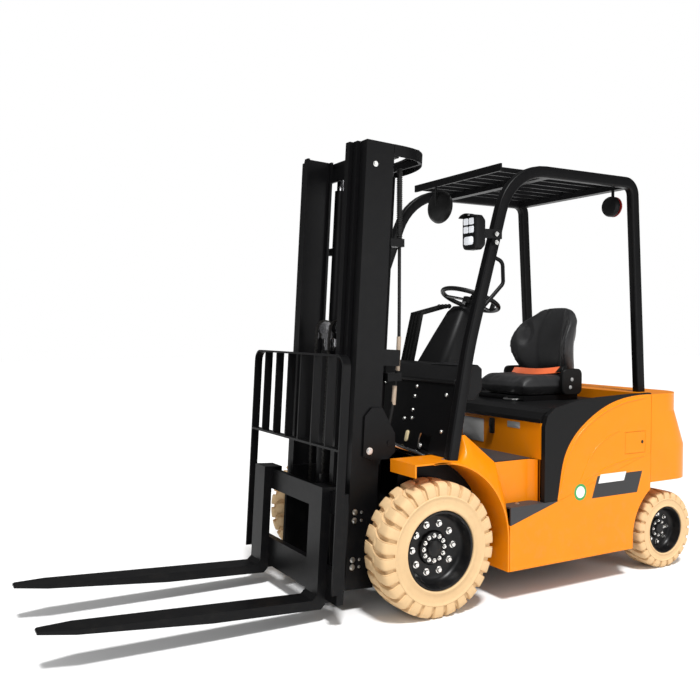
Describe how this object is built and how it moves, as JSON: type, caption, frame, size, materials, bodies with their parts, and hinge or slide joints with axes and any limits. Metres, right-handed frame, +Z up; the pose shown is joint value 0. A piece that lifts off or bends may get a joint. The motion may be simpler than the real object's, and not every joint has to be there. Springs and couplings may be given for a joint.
{
  "type": "electric counterbalance forklift truck",
  "caption": "Electric counterbalance forklift with a three-stage mast, sliding forks, load backrest, overhead guard, steered rear wheels and a seat on a lifting hood.",
  "frame": {"origin": "on the floor under the middle of the whole length, between the fork tips and the counterweight, on the middle plane", "axes": "+Z up; the forks point along -Y; +X is the truck's left side"},
  "size_m": [1.26, 3.5935, 2.2809],
  "materials": {
    "body_orange": "glossy orange-yellow enamel",
    "frame_black": "satin black enamel",
    "rim_black": "satin black enamel",
    "tyre_cream": "matt cream non-marking rubber",
    "rod_chrome": "hard chrome plate",
    "chain_steel": "oiled dark steel",
    "trim_black": "fine grained black plastic",
    "floor_grey": "dark grey grained plastic and rubber",
    "control_black": "soft black plastic",
    "battery_grey": "dark grey enamel",
    "seat_vinyl": "grained black vinyl",
    "belt_webbing": "orange-red woven webbing"
  },
  "bodies": {
    "truck": {"battery_block": "battery_grey", "chassis_frame": "frame_black", "counterweight": "body_orange", "cowl": "trim_black", "drive_axle": "frame_black", "fenders": "body_orange", "floor_and_steps": "floor_grey", "guard_frame_left": "frame_black", "guard_frame_right": "frame_black", "guard_roof": "frame_black", "lamps": "trim_black", "levers_and_pedals": "control_black", "lower_sides": "body_orange", "seat_box_panel": "body_orange", "side_panels": "body_orange", "side_trims": "trim_black", "steer_axle": "frame_black", "steering_column": "floor_grey", "tow_pin": "rod_chrome"},
    "wheel_front_left": {"front_tyre_left": "tyre_cream", "front_rim_left": "rim_black"},
    "wheel_front_right": {"front_tyre_right": "tyre_cream", "front_rim_right": "rim_black"},
    "knuckle_left": {"knuckle_left": "frame_black"},
    "knuckle_right": {"knuckle_right": "frame_black"},
    "wheel_rear_left": {"rear_tyre_left": "tyre_cream", "rear_rim_left": "rim_black"},
    "wheel_rear_right": {"rear_tyre_right": "tyre_cream", "rear_rim_right": "rim_black"},
    "steering_wheel": {"steering_wheel": "control_black"},
    "mast_outer": {"outer_mast": "frame_black", "lift_cylinders": "frame_black"},
    "mast_middle": {"middle_mast": "frame_black", "lift_rods": "rod_chrome"},
    "mast_inner": {"inner_mast": "frame_black", "free_lift_cylinder": "frame_black"},
    "free_lift_rod": {"free_lift_rod": "rod_chrome", "lift_chains": "chain_steel"},
    "carriage": {"carriage": "frame_black", "load_backrest": "frame_black"},
    "fork_left": {"fork_left": "frame_black"},
    "fork_right": {"fork_right": "frame_black"},
    "tilt_barrel_left": {"tilt_barrel_left": "frame_black"},
    "tilt_barrel_right": {"tilt_barrel_right": "frame_black"},
    "tilt_rod_left": {"tilt_rod_left": "rod_chrome"},
    "tilt_rod_right": {"tilt_rod_right": "rod_chrome"},
    "hood": {"hood": "trim_black", "seat_base": "frame_black", "seat_cushion": "seat_vinyl", "seat_back": "seat_vinyl", "seat_belt": "belt_webbing"},
    "charge_flap": {"charge_flap": "body_orange"}
  },
  "joints": [
    {"name": "roll_front_left", "type": "hinge", "parent": "truck", "child": "wheel_front_left", "pos_m": [0.53, -0.03847, 0.324], "axis": [1, 0, 0], "continuous": true},
    {"name": "roll_front_right", "type": "hinge", "parent": "truck", "child": "wheel_front_right", "pos_m": [-0.53, -0.03847, 0.324], "axis": [1, 0, 0], "continuous": true},
    {"name": "steer_left", "type": "hinge", "parent": "truck", "child": "knuckle_left", "pos_m": [0.398, 1.56953, 0.219], "axis": [0, 0, 1], "range_deg": [-70, 70]},
    {"name": "steer_right", "type": "hinge", "parent": "truck", "child": "knuckle_right", "pos_m": [-0.398, 1.56953, 0.219], "axis": [0, 0, 1], "range_deg": [-70, 70]},
    {"name": "roll_rear_left", "type": "hinge", "parent": "knuckle_left", "child": "wheel_rear_left", "pos_m": [0.509, 1.56953, 0.219], "axis": [1, 0, 0], "continuous": true},
    {"name": "roll_rear_right", "type": "hinge", "parent": "knuckle_right", "child": "wheel_rear_right", "pos_m": [-0.509, 1.56953, 0.219], "axis": [1, 0, 0], "continuous": true},
    {"name": "steering", "type": "hinge", "parent": "truck", "child": "steering_wheel", "pos_m": [0, 0.61553, 1.535], "axis": [0, 0.3746, 0.9272], "continuous": true},
    {"name": "mast_tilt", "type": "hinge", "parent": "truck", "child": "mast_outer", "pos_m": [0, -0.03847, 0.324], "axis": [1, 0, 0], "range_deg": [-6.8, 9.2]},
    {"name": "lift_middle", "type": "slide", "parent": "mast_outer", "child": "mast_middle", "axis": [0, 0.0558, 0.9984], "range_m": [0, 1.5]},
    {"name": "lift_inner", "type": "slide", "parent": "mast_middle", "child": "mast_inner", "axis": [0, 0.0558, 0.9984], "range_m": [0, 1.5]},
    {"name": "lift_carriage", "type": "slide", "parent": "mast_inner", "child": "carriage", "axis": [0, 0.0558, 0.9984], "range_m": [0, 1.5]},
    {"name": "free_lift", "type": "slide", "parent": "mast_inner", "child": "free_lift_rod", "axis": [0, 0.0558, 0.9984], "range_m": [0, 0.75], "deforming": ["lift_chains"]},
    {"name": "fork_shift_left", "type": "slide", "parent": "carriage", "child": "fork_left", "axis": [1, 0, 0], "range_m": [-0.195, 0.08]},
    {"name": "fork_shift_right", "type": "slide", "parent": "carriage", "child": "fork_right", "axis": [-1, 0, 0], "range_m": [-0.195, 0.08]},
    {"name": "tilt_pivot_left", "type": "hinge", "parent": "truck", "child": "tilt_barrel_left", "pos_m": [0.325, 0.35353, 0.6], "axis": [1, 0, 0], "range_deg": [-6, 6]},
    {"name": "tilt_pivot_right", "type": "hinge", "parent": "truck", "child": "tilt_barrel_right", "pos_m": [-0.325, 0.35353, 0.6], "axis": [1, 0, 0], "range_deg": [-6, 6]},
    {"name": "tilt_stroke_left", "type": "slide", "parent": "tilt_barrel_left", "child": "tilt_rod_left", "axis": [0, -0.9262, 0.377], "range_m": [-0.05, 0.068]},
    {"name": "tilt_stroke_right", "type": "slide", "parent": "tilt_barrel_right", "child": "tilt_rod_right", "axis": [0, -0.9262, 0.377], "range_m": [-0.05, 0.068]},
    {"name": "hood_hinge", "type": "hinge", "parent": "truck", "child": "hood", "pos_m": [0, 1.37953, 0.955], "axis": [-1, 0, 0], "range_deg": [0, 50]},
    {"name": "flap_hinge", "type": "hinge", "parent": "truck", "child": "charge_flap", "pos_m": [0.621, 1.19553, 0.746], "axis": [0, 0, -1], "range_deg": [0, 100]}
  ],
  "couplings": [
    {"joint": "steer_right", "follows": "steer_left", "ratio": 1},
    {"joint": "lift_inner", "follows": "lift_middle", "ratio": 1},
    {"joint": "free_lift", "follows": "lift_carriage", "ratio": 0.5},
    {"joint": "tilt_pivot_left", "follows": "mast_tilt", "ratio": 0.53294},
    {"joint": "tilt_pivot_right", "follows": "mast_tilt", "ratio": 0.53294},
    {"joint": "tilt_stroke_left", "follows": "mast_tilt", "m_per_rad": 0.40019},
    {"joint": "tilt_stroke_right", "follows": "mast_tilt", "m_per_rad": 0.40019}
  ]
}
